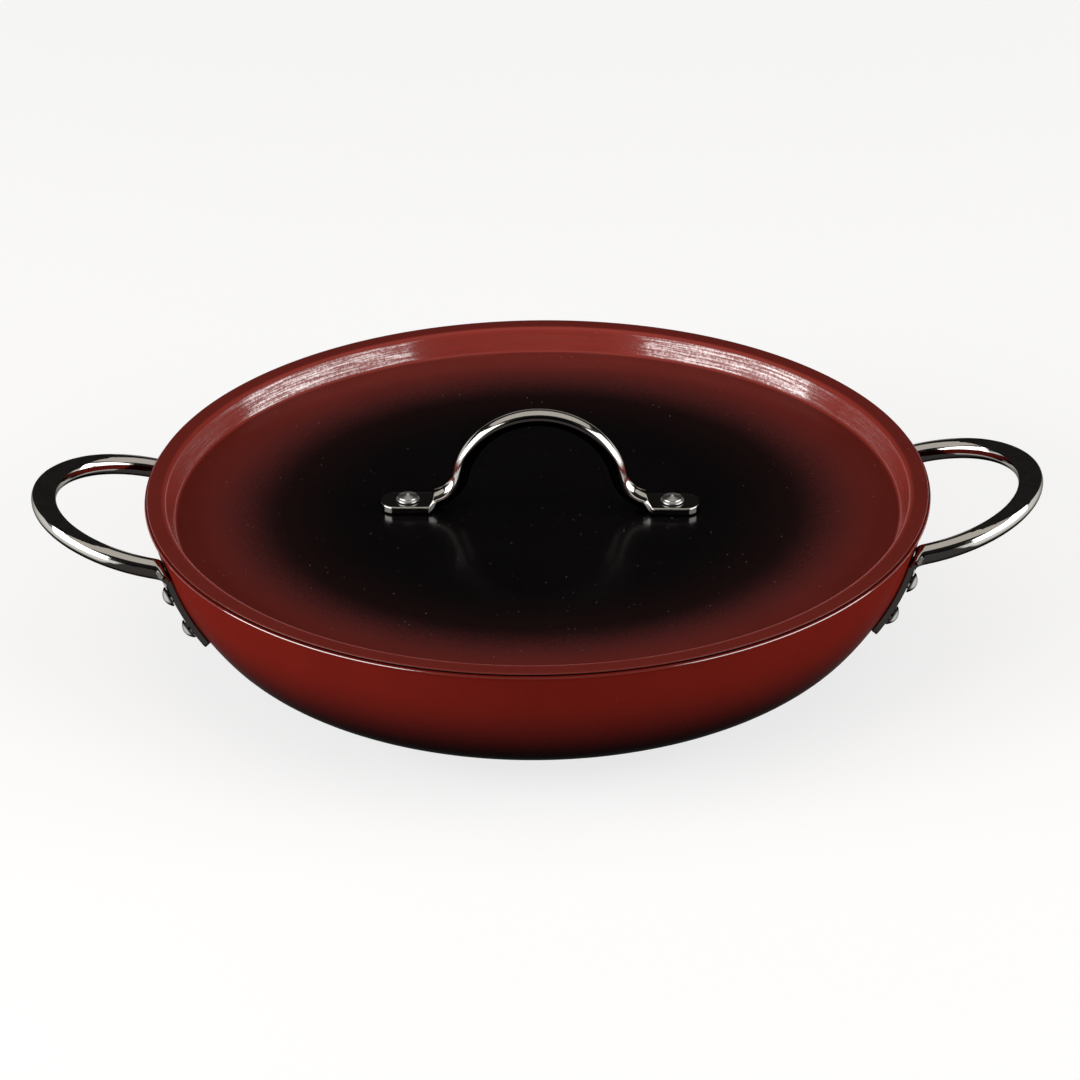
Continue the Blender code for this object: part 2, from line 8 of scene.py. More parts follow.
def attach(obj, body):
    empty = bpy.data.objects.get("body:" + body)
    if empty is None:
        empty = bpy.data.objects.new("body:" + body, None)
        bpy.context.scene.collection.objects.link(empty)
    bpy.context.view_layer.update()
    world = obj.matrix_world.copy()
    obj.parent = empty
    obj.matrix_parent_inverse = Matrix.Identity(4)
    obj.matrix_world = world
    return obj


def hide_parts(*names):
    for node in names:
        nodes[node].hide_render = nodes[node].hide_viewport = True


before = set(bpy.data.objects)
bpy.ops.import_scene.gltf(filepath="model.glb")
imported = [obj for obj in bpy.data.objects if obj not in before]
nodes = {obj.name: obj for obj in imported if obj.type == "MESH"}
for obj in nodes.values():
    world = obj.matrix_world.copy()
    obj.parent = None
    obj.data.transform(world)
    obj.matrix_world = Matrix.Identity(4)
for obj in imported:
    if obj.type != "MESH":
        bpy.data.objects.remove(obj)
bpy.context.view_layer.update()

# Camera
# A long lens from just left of the pan's middle, looking down on the lid at about 27 degrees.
# The picture's right side leans up a little.
LOOK_AT = Vector((0.0, 0.0, 0.05905))
CAMERA_DISTANCE = 3.0
CAMERA_AZIMUTH = math.radians(-0.8)
CAMERA_ELEVATION = math.radians(26.88)
AXIS_ELEVATION = math.radians(27.2264)
AXIS_AZIMUTH = CAMERA_AZIMUTH - math.radians(0.0148)
CAMERA_ROLL = math.radians(0.71)
LENS = 279.04


def direction_to(azimuth, elevation):
    """Unit vector from the pan to a place. Azimuth 0 is in front, and 90 degrees on the right."""
    level = math.cos(elevation)
    return Vector((math.sin(azimuth) * level, -math.cos(azimuth) * level, math.sin(elevation)))


camera_data = bpy.data.cameras.new("camera")
camera_data.lens = LENS
camera_data.sensor_width = 36.0
camera_data.clip_start = 0.05
camera_data.clip_end = 50.0
camera = bpy.data.objects.new("camera", camera_data)
bpy.context.scene.collection.objects.link(camera)
camera.location = LOOK_AT + direction_to(CAMERA_AZIMUTH, CAMERA_ELEVATION) * CAMERA_DISTANCE
back = direction_to(AXIS_AZIMUTH, AXIS_ELEVATION)
level_right = Vector((0.0, 0.0, 1.0)).cross(back).normalized()
level_up = back.cross(level_right)
right = level_right * math.cos(CAMERA_ROLL) - level_up * math.sin(CAMERA_ROLL)
up = level_up * math.cos(CAMERA_ROLL) + level_right * math.sin(CAMERA_ROLL)
camera.rotation_mode = "QUATERNION"
camera.rotation_quaternion = Matrix((right, up, back)).transposed().to_quaternion()
bpy.context.scene.camera = camera
bpy.context.scene.view_settings.view_transform = "Standard"

# Light
# Two long soft boxes stand in front at the left and the right, and the left one is the brighter.
# A wide, dimmer and warmer one hangs over the pan. What lies straight behind stays dim.
LAMPS = (
    # name, azimuth, elevation, distance, width, height, radiance, colour
    ("left_box", -66.0, 19.0, 1.5, 1.65, 0.9, 5.0, (1.0, 0.99, 0.98)),
    ("right_box", 71.0, 19.0, 1.5, 1.75, 0.9, 3.7, (1.0, 0.99, 0.98)),
    ("overhead_box", 180.0, 88.0, 1.5, 3.3, 2.0, 0.62, (1.0, 0.95, 0.89)),
)
WORLD_GREY = 0.012

for name, azimuth, elevation, distance, width, height, radiance, colour in LAMPS:
    lamp_data = bpy.data.lights.new(name, "AREA")
    lamp_data.shape = "RECTANGLE"
    lamp_data.size = width
    lamp_data.size_y = height
    lamp_data.energy = math.pi * width * height * radiance
    lamp_data.color = colour
    lamp = bpy.data.objects.new(name, lamp_data)
    bpy.context.scene.collection.objects.link(lamp)
    towards = direction_to(math.radians(azimuth), math.radians(elevation))
    lamp.location = towards * distance
    lamp.rotation_mode = "QUATERNION"
    lamp.rotation_quaternion = towards.to_track_quat("Z", "Y")
    lamp.visible_camera = False

world = bpy.data.worlds.new("dim_room")
world.use_nodes = True
world.node_tree.nodes["Background"].inputs["Color"].default_value = (1.0, 1.0, 1.0, 1.0)
world.node_tree.nodes["Background"].inputs["Strength"].default_value = WORLD_GREY
bpy.context.scene.world = world

# Floor
# One pale sheet that turns up at its far edge, so that a low view has it behind the pan too.
# The camera and the steel see a share of even white in it, and the pan's shadow stays.
FLOOR_RADIUS = 6.0
FLOOR_SWEEP = 1.2
FLOOR_STEPS = 96
FLOOR_DROP = 0.0002
# The share of even white grows between these distances from the pan's middle.
WHITE_NEAR, WHITE_FAR = 0.45, 1.2


def start_outline(outline, radius, height):
    """The first point of an outline in the plane of radius and height."""
    return outline.verts.new((radius, 0.0, height))


def line_to(outline, end, radius, height, cuts=0):
    """Draw a straight line from the outline's end, in one or more parts. Gives the new end."""
    start, target = end.co.copy(), Vector((radius, 0.0, height))
    for part in range(1, cuts + 2):
        corner = outline.verts.new(start.lerp(target, part / (cuts + 1)))
        outline.edges.new((end, corner))
        end = corner
    return end


def arc_to(outline, end, centre, degrees, steps):
    """Draw an arc about a centre of radius and height. Positive degrees turn from out to up."""
    swept = bmesh.ops.spin(
        outline, geom=[end], cent=(centre[0], 0.0, centre[1]), axis=(0.0, -1.0, 0.0),
        angle=math.radians(degrees), steps=steps,
    )
    return [item for item in swept["geom_last"] if isinstance(item, bmesh.types.BMVert)][0]


def turn_outline(outline, steps):
    """Spin an outline once about the upright axis into a closed shell."""
    bmesh.ops.spin(
        outline, geom=list(outline.verts) + list(outline.edges), cent=(0.0, 0.0, 0.0),
        axis=(0.0, 0.0, 1.0), angle=math.tau, steps=steps, use_merge=True,
    )
    bmesh.ops.remove_doubles(outline, verts=outline.verts, dist=1e-6)
    bmesh.ops.recalc_face_normals(outline, faces=outline.faces)


def finish_piece(name, shape, materials, sharp_degrees=None):
    """Make an object of a bmesh, shade it smooth between sharp edges and give it its materials."""
    mesh = bpy.data.meshes.new(name)
    shape.to_mesh(mesh)
    shape.free()
    for material in materials:
        mesh.materials.append(material)
    mesh.shade_smooth()
    if sharp_degrees:
        mesh.set_sharp_from_angle(angle=math.radians(sharp_degrees))
    piece = bpy.data.objects.new(name, mesh)
    bpy.context.scene.collection.objects.link(piece)
    return piece


def set_inputs(tree, node, inputs):
    """Set a node's sockets, by name or number, to a value or link them to another node's socket."""
    for key, value in inputs.items():
        if isinstance(value, bpy.types.NodeSocket):
            tree.links.new(value, node.inputs[key])
        else:
            node.inputs[key].default_value = value


def lay_node(tree, kind, settings, inputs):
    """Add a node of one kind to a tree, with its settings and its inputs."""
    node = tree.nodes.new("ShaderNode" + kind)
    for key, value in settings.items():
        setattr(node, key, value)
    set_inputs(tree, node, inputs)
    return node


def reckon(tree, operation, *values, clamp=False):
    """The outcome of a sum on numbers or sockets."""
    settings = {"operation": operation, "use_clamp": clamp}
    return lay_node(tree, "Math", settings, dict(enumerate(values))).outputs[0]


def ramp(tree, value, start, stop, low=0.0, high=1.0, kind="SMOOTHSTEP"):
    """Map one range to another, with a soft start and stop unless the kind is LINEAR."""
    return lay_node(tree, "MapRange", {"interpolation_type": kind}, {
        "Value": value, "From Min": start, "From Max": stop, "To Min": low, "To Max": high,
    }).outputs[0]


def noise(tree, place, scale, detail, roughness=0.5, distortion=0.0):
    """A noise pattern with values between 0 and 1."""
    return lay_node(tree, "TexNoise", {}, {
        "Vector": place, "Scale": scale, "Detail": detail, "Roughness": roughness,
        "Distortion": distortion,
    }).outputs["Fac"]


def new_finish(name):
    """A material with one Principled shader: the material, its tree, the shader and the place."""
    material = bpy.data.materials.new(name)
    material.use_nodes = True
    tree = material.node_tree
    place = lay_node(tree, "TexCoord", {}, {}).outputs["Object"]
    return material, tree, tree.nodes["Principled BSDF"], place


floor_outline = bmesh.new()
end = start_outline(floor_outline, 0.0, -FLOOR_DROP)
end = line_to(floor_outline, end, FLOOR_RADIUS, -FLOOR_DROP)
arc_to(floor_outline, end, (FLOOR_RADIUS, FLOOR_SWEEP - FLOOR_DROP), 90.0, 16)
turn_outline(floor_outline, FLOOR_STEPS)
if min(floor_outline.faces, key=lambda face: face.calc_center_median().length).normal.z < 0:
    bmesh.ops.reverse_faces(floor_outline, faces=floor_outline.faces)

floor_finish, tree, shader, place = new_finish("pale_floor")
shade = ramp(tree, noise(tree, place, 3.0, 2.0), 0.0, 1.0, 0.80, 0.84, "LINEAR")
away = lay_node(tree, "VectorMath", {"operation": "LENGTH"}, {0: place}).outputs["Value"]
share = ramp(tree, away, WHITE_NEAR, WHITE_FAR, 0.60, 1.0, "LINEAR")
glow = ramp(tree, away, WHITE_NEAR, WHITE_FAR, 0.72, 0.94, "LINEAR")
rays = lay_node(tree, "LightPath", {}, {})
seen = reckon(tree, "MAXIMUM", rays.outputs["Is Camera Ray"], rays.outputs["Is Glossy Ray"])
seen = reckon(tree, "MAXIMUM", seen, rays.outputs["Is Transmission Ray"])
lit = reckon(tree, "SUBTRACT", 1.0, reckon(tree, "MULTIPLY", seen, share))
shade = reckon(tree, "MULTIPLY", shade, lit)
set_inputs(tree, shader, {
    "Base Color": lay_node(tree, "CombineColor", {}, {0: shade, 1: shade, 2: shade}).outputs[0],
    "Roughness": 0.9,
    "Specular IOR Level": 0.0,
    "Emission Color": (1.0, 1.0, 1.0, 1.0),
    "Emission Strength": reckon(tree, "MULTIPLY", seen, glow),
})
clear = lay_node(tree, "BsdfTransparent", {}, {})
from_below = lay_node(tree, "NewGeometry", {}, {}).outputs["Backfacing"]
both = lay_node(tree, "MixShader", {}, {0: from_below, 1: shader.outputs[0], 2: clear.outputs[0]})
tree.links.new(both.outputs[0], tree.nodes["Material Output"].inputs["Surface"])
finish_piece("floor", floor_outline, [floor_finish])

# Bowl
# Pressed from one sheet of stainless steel, with an outward lip. The outside is fired red enamel
# that is sprayed over into black towards the base. The inside is bare steel with turned lines.
BOWL_STEPS = 240
BOWL_SHEET = 0.0013
BOWL_FLOOR = 0.0062
LIP_TOP = 0.0579496
# The outline turns by these degrees at the corner, up the wall and out into the lip.
CORNER_TURN, WALL_TURN, LIP_TURN = 50.7, 29.2, 79.9
# Going down the wall, the mist starts at the first height and covers all from the second on.
MIST_STARTS, MIST_FULL = 0.0465, 0.0128
ENAMEL_RED = (0.140, 0.0108, 0.0070, 1.0)
ENAMEL_BLACK = (0.0028, 0.0023, 0.0025, 1.0)
MIST_HAZE = (0.0020, 0.0048, 0.0058, 1.0)
DUST_GREY = (0.30, 0.26, 0.25, 1.0)
STEEL_WHITE = (0.60, 0.585, 0.56, 1.0)


def new_group(name, inputs, outputs):
    """A shader node group: its tree, its input sockets and its output node."""
    tree = bpy.data.node_groups.new(name, "ShaderNodeTree")
    for socket_name, kind, value in inputs:
        socket = tree.interface.new_socket(
            socket_name, in_out="INPUT", socket_type="NodeSocket" + kind
        )
        if value is not None:
            socket.default_value = value
    for socket_name, kind in outputs:
        tree.interface.new_socket(socket_name, in_out="OUTPUT", socket_type="NodeSocket" + kind)
    return tree, tree.nodes.new("NodeGroupInput").outputs, tree.nodes.new("NodeGroupOutput")


def use_group(tree, group, inputs):
    """Place a node group in a material and give back its outputs."""
    node = tree.nodes.new("ShaderNodeGroup")
    node.node_tree = group
    set_inputs(tree, node, inputs)
    return node.outputs


def blend(tree, share, first, second, kind="MIX"):
    """Mix two colours by a share."""
    return lay_node(tree, "Mix", {"data_type": "RGBA", "blend_type": kind}, {
        "Factor": share, 6: first, 7: second,
    }).outputs[2]


# Fired enamel: red under a black mist whose edge is grainy, a faint orange peel and specks of dust
enamel_group, given, result = new_group(
    "fired_enamel",
    (
        ("Place", "Vector", None),
        ("Glaze", "Color", ENAMEL_RED),
        ("Mist", "Color", ENAMEL_BLACK),
        ("Mist Cover", "Float", 0.0),
        ("Grain", "Float", 0.5),
        ("Gloss Roughness", "Float", 0.12),
        ("Dust", "Float", 0.5),
    ),
    (("Colour", "Color"), ("Roughness", "Float"), ("Height", "Float")),
)
grain = noise(enamel_group, given["Place"], 2400.0, 1.0, 0.6)
clouds = noise(enamel_group, given["Place"], 38.0, 3.0, 0.55)
bare = reckon(enamel_group, "SUBTRACT", 1.0, given["Mist Cover"])
edge = reckon(enamel_group, "MULTIPLY", bare, given["Mist Cover"])
swing = reckon(enamel_group, "SUBTRACT", grain, 0.5)
swing = reckon(enamel_group, "MULTIPLY", swing, given["Grain"])
swing = reckon(enamel_group, "MULTIPLY", reckon(enamel_group, "MULTIPLY", swing, edge), 6.0)
cover = reckon(enamel_group, "ADD", given["Mist Cover"], swing, clamp=True)
glaze = lay_node(enamel_group, "HueSaturation", {}, {
    "Value": ramp(enamel_group, clouds, 0.0, 1.0, 0.88, 1.12, "LINEAR"), "Color": given["Glaze"],
}).outputs[0]
misted = blend(enamel_group, cover, glaze, given["Mist"])
haze = reckon(enamel_group, "MULTIPLY", reckon(enamel_group, "MULTIPLY", edge, given["Dust"]), 5.0)
misted = blend(enamel_group, haze, misted, MIST_HAZE, "ADD")
cells = lay_node(enamel_group, "TexVoronoi", {}, {
    "Vector": given["Place"], "Scale": 520.0, "Randomness": 1.0,
})
luck = lay_node(enamel_group, "SeparateColor", {}, {0: cells.outputs["Color"]})
patches = noise(enamel_group, given["Place"], 26.0, 2.0)
few = ramp(enamel_group, patches, 0.42, 0.62, 0.90, 0.45, "LINEAR")
spare = reckon(enamel_group, "MULTIPLY_ADD", given["Dust"], -0.30, 0.22)
few = reckon(enamel_group, "ADD", few, spare)
size = reckon(enamel_group, "MULTIPLY", reckon(enamel_group, "POWER", luck.outputs[1], 2.2), 0.11)
speck = reckon(enamel_group, "LESS_THAN", cells.outputs["Distance"], size)
lucky = reckon(enamel_group, "GREATER_THAN", luck.outputs[0], few)
speck = reckon(enamel_group, "MULTIPLY", speck, lucky)
speck = reckon(enamel_group, "MULTIPLY", speck, given["Dust"], clamp=True)
peel = noise(enamel_group, given["Place"], 420.0, 1.5)
wave = noise(enamel_group, given["Place"], 75.0, 1.0)
height = reckon(enamel_group, "MULTIPLY_ADD", wave, 2.5, peel)
rough = reckon(enamel_group, "MULTIPLY_ADD", clouds, 0.06, given["Gloss Roughness"])
set_inputs(enamel_group, result, {
    "Colour": blend(enamel_group, speck, misted, DUST_GREY),
    "Roughness": reckon(enamel_group, "MULTIPLY_ADD", speck, 0.4, rough),
    "Height": reckon(enamel_group, "MULTIPLY_ADD", speck, 2.0, height),
})

# Turned steel: fine rings about the upright axis, with clouds of wiping over them
turned_group, given, result = new_group(
    "turned_steel",
    (
        ("Place", "Vector", None),
        ("Steel", "Color", STEEL_WHITE),
        ("Ring Pitch", "Float", 0.0006),
        ("Satin Roughness", "Float", 0.26),
    ),
    (("Colour", "Color"), ("Roughness", "Float"), ("Height", "Float")),
)
split = lay_node(turned_group, "SeparateXYZ", {}, {0: given["Place"]})
flat = lay_node(turned_group, "CombineXYZ", {}, {
    0: split.outputs[0], 1: split.outputs[1],
}).outputs[0]
reach = lay_node(turned_group, "VectorMath", {"operation": "LENGTH"}, {0: flat}).outputs["Value"]
slant = reckon(turned_group, "MULTIPLY_ADD", split.outputs[2], 0.8, reach)
count = reckon(turned_group, "DIVIDE", slant, given["Ring Pitch"])
rings = lay_node(turned_group, "TexNoise", {"noise_dimensions": "1D"}, {
    "W": count, "Scale": 1.0, "Detail": 3.0, "Roughness": 0.7,
}).outputs["Fac"]
wiping = noise(turned_group, given["Place"], 45.0, 3.0, distortion=0.6)
tone = reckon(turned_group, "MULTIPLY_ADD", wiping, 0.16, 0.81)
tone = reckon(turned_group, "MULTIPLY_ADD", rings, 0.22, tone)
rough = reckon(turned_group, "MULTIPLY_ADD", rings, 0.10, given["Satin Roughness"])
set_inputs(turned_group, result, {
    "Colour": lay_node(turned_group, "HueSaturation", {}, {
        "Value": tone, "Color": given["Steel"],
    }).outputs[0],
    "Roughness": reckon(turned_group, "MULTIPLY_ADD", wiping, 0.10, rough),
    "Height": rings,
})


def enamel_finish(tree, shader, place, glaze, cover, gloss, grain, dust):
    """Join the enamel group to a shader whose black mist covers the given share."""
    skin = use_group(tree, enamel_group, {
        "Place": place, "Glaze": glaze, "Mist Cover": cover, "Gloss Roughness": gloss,
        "Grain": grain, "Dust": dust,
    })
    bump = lay_node(tree, "Bump", {}, {
        "Strength": 0.35, "Distance": 0.00002, "Height": skin["Height"],
    })
    set_inputs(tree, shader, {
        "Base Color": skin["Colour"], "Roughness": skin["Roughness"], "Normal": bump.outputs[0],
    })


def turned_finish(name, pitch, satin, metal):
    """A metal finish with rings about the upright axis."""
    material, tree, shader, place = new_finish(name)
    lines = use_group(tree, turned_group, {
        "Place": place, "Ring Pitch": pitch, "Satin Roughness": satin, "Steel": metal,
    })
    bump = lay_node(tree, "Bump", {}, {
        "Strength": 0.3, "Distance": 0.00001, "Height": lines["Height"],
    })
    set_inputs(tree, shader, {
        "Base Color": lines["Colour"], "Roughness": lines["Roughness"], "Metallic": 1.0,
        "Normal": bump.outputs[0],
    })
    return material


bowl_enamel, tree, shader, place = new_finish("bowl_enamel")
level = lay_node(tree, "SeparateXYZ", {}, {0: place}).outputs[2]
bowl_cover = ramp(tree, level, MIST_STARTS, MIST_FULL)
enamel_finish(tree, shader, place, ENAMEL_RED, bowl_cover, 0.24, 0.35, 0.20)
# Only the lip's outer edge is glossy, where fingers and cloths rub it.
lip_gloss = reckon(
    tree, "MULTIPLY", ramp(tree, level, 0.05744, 0.05754), ramp(tree, level, 0.05780, 0.05772)
)
set_inputs(tree, shader, {
    "Specular IOR Level": 0.0002, "Coat Weight": lip_gloss, "Coat Roughness": 0.09,
    "Coat IOR": 2.6,
})
bowl_steel = turned_finish("bowl_steel", 0.0007, 0.22, STEEL_WHITE)

bowl = bmesh.new()
corner_centre = (0.0937141, 0.0415)
wall_centre = (0.0580401, 0.0706989)
lip_centre = (0.140, 0.0560996)
nose_centre = (0.1402, 0.0572996)
end = start_outline(bowl, 0.0, BOWL_FLOOR)
end = line_to(bowl, end, corner_centre[0], BOWL_FLOOR, cuts=5)
end = arc_to(bowl, end, corner_centre, CORNER_TURN, 16)
end = arc_to(bowl, end, wall_centre, WALL_TURN, 14)
end = arc_to(bowl, end, lip_centre, -LIP_TURN, 8)
end = line_to(bowl, end, nose_centre[0], LIP_TOP)
end = arc_to(bowl, end, nose_centre, -180.0, 10)
end = line_to(bowl, end, lip_centre[0], LIP_TOP - BOWL_SHEET)
end = arc_to(bowl, end, lip_centre, LIP_TURN, 5)
end = arc_to(bowl, end, wall_centre, -WALL_TURN, 14)
end = arc_to(bowl, end, corner_centre, -CORNER_TURN, 16)
line_to(bowl, end, 0.0, BOWL_FLOOR - BOWL_SHEET, cuts=5)
turn_outline(bowl, BOWL_STEPS)
# The inside is bare steel up to the lip.
for face in bowl.faces:
    middle = face.calc_center_median()
    inward = face.normal.x * middle.x + face.normal.y * middle.y < 0
    face.material_index = 1 if middle.z < 0.0576 and (inward or face.normal.z > 0.5) else 0
bowl_piece = finish_piece("bowl", bowl, [bowl_enamel, bowl_steel])
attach(bowl_piece, "pan")
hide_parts("pan_shell")

# Base
# A steel cap pressed over a thick aluminium disc, which spreads the heat under the bowl. The cap
# is satin steel with turned rings, and the pan stands on it.
CAP_STEPS = 240
CAP_SHEET = 0.0008
CAP_RADIUS = 0.0887141
CAP_TOP = 0.0046
RING_GROOVE = ((0.0712, 0.0), (0.0708, 0.0003), (0.0696, 0.0003), (0.0692, 0.0))
base_steel = turned_finish("base_steel", 0.0009, 0.30, (0.52, 0.51, 0.50, 1.0))

cap = bmesh.new()
cap_edge_centre = (0.0869141, 0.0018)
end = start_outline(cap, 0.0, CAP_SHEET)
end = line_to(cap, end, cap_edge_centre[0], CAP_SHEET, cuts=2)
end = arc_to(cap, end, cap_edge_centre, 90.0, 5)
end = line_to(cap, end, CAP_RADIUS - CAP_SHEET, CAP_TOP)
end = line_to(cap, end, CAP_RADIUS, CAP_TOP)
end = line_to(cap, end, CAP_RADIUS, cap_edge_centre[1])
end = arc_to(cap, end, cap_edge_centre, -90.0, 8)
for radius, height in RING_GROOVE:
    end = line_to(cap, end, radius, height)
line_to(cap, end, 0.0, 0.0, cuts=3)
turn_outline(cap, CAP_STEPS)
cap_piece = finish_piece("cap", cap, [base_steel], sharp_degrees=35.0)
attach(cap_piece, "pan")
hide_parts("base_cap")

core_finish = turned_finish("core_aluminium", 0.0012, 0.38, (0.72, 0.72, 0.73, 1.0))
for material_slot in nodes["base_core"].material_slots:
    material_slot.material = core_finish

# Side handles
# Each is a polished stainless rod bent into a loop. The loop is pressed a little wider, a flat is
# ground across its top, and both ends are pressed into tabs that lie on the bowl's wall.
QUARTER_POINTS = 8
RING_POINTS = 4 * QUARTER_POINTS
# One turn round a rod takes this width on the rod's own map, near its true length.
MAP_ROUND = 0.024
LOOP_STEPS, BEND_STEPS = 36, 14
LOOP_RADIUS = 0.0394
LOOP_TILT = math.radians(13.0)
LOOP_CENTRE = Vector((0.1384816, 0.0, 0.0507473))
BEND_CENTRE = Vector((0.1379499, 0.0394, 0.0454930))
BEND_RADIUS = 0.0050
TAB_LEAN = 0.2863145
SIDE_ROD = 0.00365
# The loop's outer end is pressed to this half width and half height, the bend to this edge.
PRESSED_HALF, PRESSED_RISE, PRESSED_EDGE = 0.00449, 0.0035, 0.0008
# The flat is ground from this height at the outer end to these degrees along the loop.
FACET_HEIGHT, FACET_DEGREES = 0.0015, 66.0
TAB_HALF = 0.0060
TAB_THICK = 0.0025
TAB_START, TAB_END = 0.0091, 0.0383
TAB_CORNER, TAB_EDGE = 0.0030, 0.0006
# The tab bends across its width to hug the round wall, by this times the width's square. So its
# middle can lie closer to the wall than the gap that a flat tab leaves.
TAB_HUG = 3.6
TAB_GAP, TAB_CLOSER = 0.0003, 0.0002
# Outside of the bowl's wall and of its corner, as radii and as tilts from level.
WALL_RADIUS, CORNER_RADIUS = 0.0827, 0.0366
WALL_TILT, CORNER_TILT = 90.0 - LIP_TURN, 90.0 - CORNER_TURN
WALL_LENGTH = WALL_RADIUS * math.radians(WALL_TURN)
STEEL_POLISHED = (0.60, 0.58, 0.545, 1.0)
# Dark steel for painted shade, laid on the undersides of rods and rivet heads
STEEL_PAINTED_SHADE = (0.035, 0.032, 0.030, 1.0)
EDGE_TINT = (0.20, 0.19, 0.18, 1.0)
STEEL_GROUND = (0.24, 0.235, 0.225, 1.0)


def ease(value):
    """A ramp from 0 to 1 with level ends."""
    value = min(max(value, 0.0), 1.0)
    return value * value * (3 - 2 * value)


def between(start, end, share):
    """The value at a share of the way from start to end."""
    return start + (end - start) * share


def upright(angle):
    """Unit vector in the upright plane across the pan. Angle 0 is outward, a quarter turn is up."""
    return Vector((math.cos(angle), 0.0, math.sin(angle)))


def press_ring(
    ring, middle, across, normal, half_width, half_height, corner,
    slant=0.0, along=None, hollow=0.0,
):
    """Lay a ring of the rod on its section, which goes from round to a flat bar with round corners.
    Slant shears the ring along the rod, and hollow bends it so that it hugs a round wall."""
    across, normal = across.normalized(), normal.normalized()
    corner = min(corner, half_width - 0.00002, half_height - 0.00002)
    for quarter, (side, up) in enumerate(((1, 1), (-1, 1), (-1, -1), (1, -1))):
        for number in range(QUARTER_POINTS):
            angle = math.pi / 2 * (quarter + number / (QUARTER_POINTS - 1))
            width = side * (half_width - corner) + corner * math.cos(angle)
            height = up * (half_height - corner) + corner * math.sin(angle)
            point = middle + across * width + normal * (height + hollow * width * width)
            if slant:
                point = point + along * (slant * width / half_width)
            ring[quarter * QUARTER_POINTS + number].co = point


def draw_rod(sections):
    """Extrude a rod ring by ring through its sections, close its ends and give it its map."""
    rod = bmesh.new()
    ring = bmesh.ops.create_circle(rod, segments=RING_POINTS, radius=0.001)["verts"]
    press_ring(ring, *sections[0])
    rings = [list(ring)]
    edges = list(rod.edges)
    rod.faces.new(ring)
    for section in sections[1:]:
        made = bmesh.ops.extrude_edge_only(rod, edges=edges)["geom"]
        edges = [item for item in made if isinstance(item, bmesh.types.BMEdge)
                 and all(vert not in rings[-1] for vert in item.verts)]
        fresh = []
        for vert in rings[-1]:
            beside = [edge.other_vert(vert) for edge in vert.link_edges]
            fresh.append([other for other in beside if other in made][0])
        press_ring(fresh, *section)
        rings.append(fresh)
    rod.faces.new(rings[-1])
    bmesh.ops.recalc_face_normals(rod, faces=rod.faces)
    number_of = {
        vert: (row, column) for row, ring in enumerate(rings) for column, vert in enumerate(ring)
    }
    lengths = [0.0]
    for first, second in zip(sections, sections[1:]):
        lengths.append(lengths[-1] + (second[0] - first[0]).length)
    rod_map = rod.loops.layers.uv.new("rod_map")
    for face in rod.faces:
        columns = [number_of[loop.vert][1] for loop in face.loops]
        wraps = max(columns) - min(columns) > RING_POINTS / 2 and len(face.loops) == 4
        for loop, column in zip(face.loops, columns):
            turn = column + (RING_POINTS if wraps and column == 0 else 0)
            length = lengths[number_of[loop.vert][0]]
            loop[rod_map].uv = (turn / RING_POINTS * MAP_ROUND, length)
    return rod


def wall_place(drop):
    """Middle, width direction and inward normal of a tab at a length down the bowl's wall."""
    if drop < WALL_LENGTH:
        tilt = math.radians(WALL_TILT) + drop / WALL_RADIUS
        centre, reach = wall_centre, WALL_RADIUS
    else:
        tilt = math.radians(CORNER_TILT) + (drop - WALL_LENGTH) / CORNER_RADIUS
        centre, reach = corner_centre, CORNER_RADIUS
    reach += TAB_GAP + TAB_THICK / 2
    radius = centre[0] + reach * math.cos(tilt)
    height = centre[1] - reach * math.sin(tilt)
    turn = math.asin(LOOP_RADIUS / radius)
    normal = Vector((
        -math.cos(tilt) * math.cos(turn), -math.cos(tilt) * math.sin(turn), math.sin(tilt)
    ))
    down = Vector((-math.sin(tilt) / math.cos(turn), 0.0, -math.cos(tilt)))
    middle = Vector((radius * math.cos(turn), LOOP_RADIUS, height))
    return middle, down.cross(normal).normalized(), normal


def squared_end(length, half_width, corner, steps):
    """Lengths and half widths along a bar whose end is square with rounded corners."""
    rows = []
    for step in range(steps + 1):
        angle = math.pi / 2 * step / steps
        rows.append((
            length - corner * (1 - math.sin(angle)), half_width - corner * (1 - math.cos(angle))
        ))
    return rows


LOOP_ARM, LOOP_RISE = upright(LOOP_TILT), upright(LOOP_TILT + math.pi / 2)


